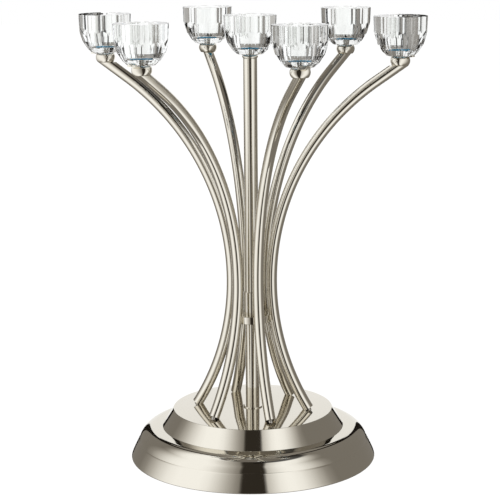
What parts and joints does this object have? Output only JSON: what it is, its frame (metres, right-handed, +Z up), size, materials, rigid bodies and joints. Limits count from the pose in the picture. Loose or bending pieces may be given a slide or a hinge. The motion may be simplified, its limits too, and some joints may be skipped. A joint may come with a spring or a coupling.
{
  "type": "menorah",
  "caption": "Candelabrum with curved tube arms around a straight centre tube on a stepped round base, with a faceted crystal candle cup on each.",
  "frame": {"origin": "middle of the felt under the base, on the table", "axes": "+Z up along the centre tube, +X from the centre line towards arm 1"},
  "size_m": [0.3192, 0.2836, 0.4124],
  "materials": {
    "nickel_plate": "bright nickel plate, mirror polished",
    "cut_crystal": "cut and polished crystal",
    "blue_disc": "clear blue, glossy",
    "steel": "zinc-plated steel",
    "cast_iron": "as cast",
    "fibreboard": "plain fibreboard",
    "felt": "black pressed felt"
  },
  "bodies": {
    "root": {"base_shell": "nickel_plate", "bottom_board": "fibreboard", "weight_disc": "cast_iron", "felt_pad": "felt", "centre_tube": "nickel_plate", "foot_ring": "nickel_plate", "tie_rod": "steel", "tie_washers": "steel", "tie_nuts": "steel", "hub": "nickel_plate", "top_socket": "nickel_plate", "arm_1": "nickel_plate", "arm_2": "nickel_plate", "arm_3": "nickel_plate", "arm_4": "nickel_plate", "arm_5": "nickel_plate", "arm_6": "nickel_plate", "arm_plugs": "steel", "arm_screws": "steel", "bevel_washers": "steel", "knob_1": "nickel_plate", "knob_2": "nickel_plate", "knob_3": "nickel_plate", "knob_4": "nickel_plate", "knob_5": "nickel_plate", "knob_6": "nickel_plate", "crystal_cup_1": "cut_crystal", "crystal_cup_2": "cut_crystal", "crystal_cup_3": "cut_crystal", "crystal_cup_4": "cut_crystal", "crystal_cup_5": "cut_crystal", "crystal_cup_6": "cut_crystal", "crystal_cup_7": "cut_crystal", "cup_disc_1": "blue_disc", "cup_disc_2": "blue_disc", "cup_disc_3": "blue_disc", "cup_disc_4": "blue_disc", "cup_disc_5": "blue_disc", "cup_disc_6": "blue_disc", "cup_disc_7": "blue_disc", "cup_screw_1": "steel", "cup_screw_2": "steel", "cup_screw_3": "steel", "cup_screw_4": "steel", "cup_screw_5": "steel", "cup_screw_6": "steel", "cup_screw_7": "steel"}
  },
  "joints": []
}
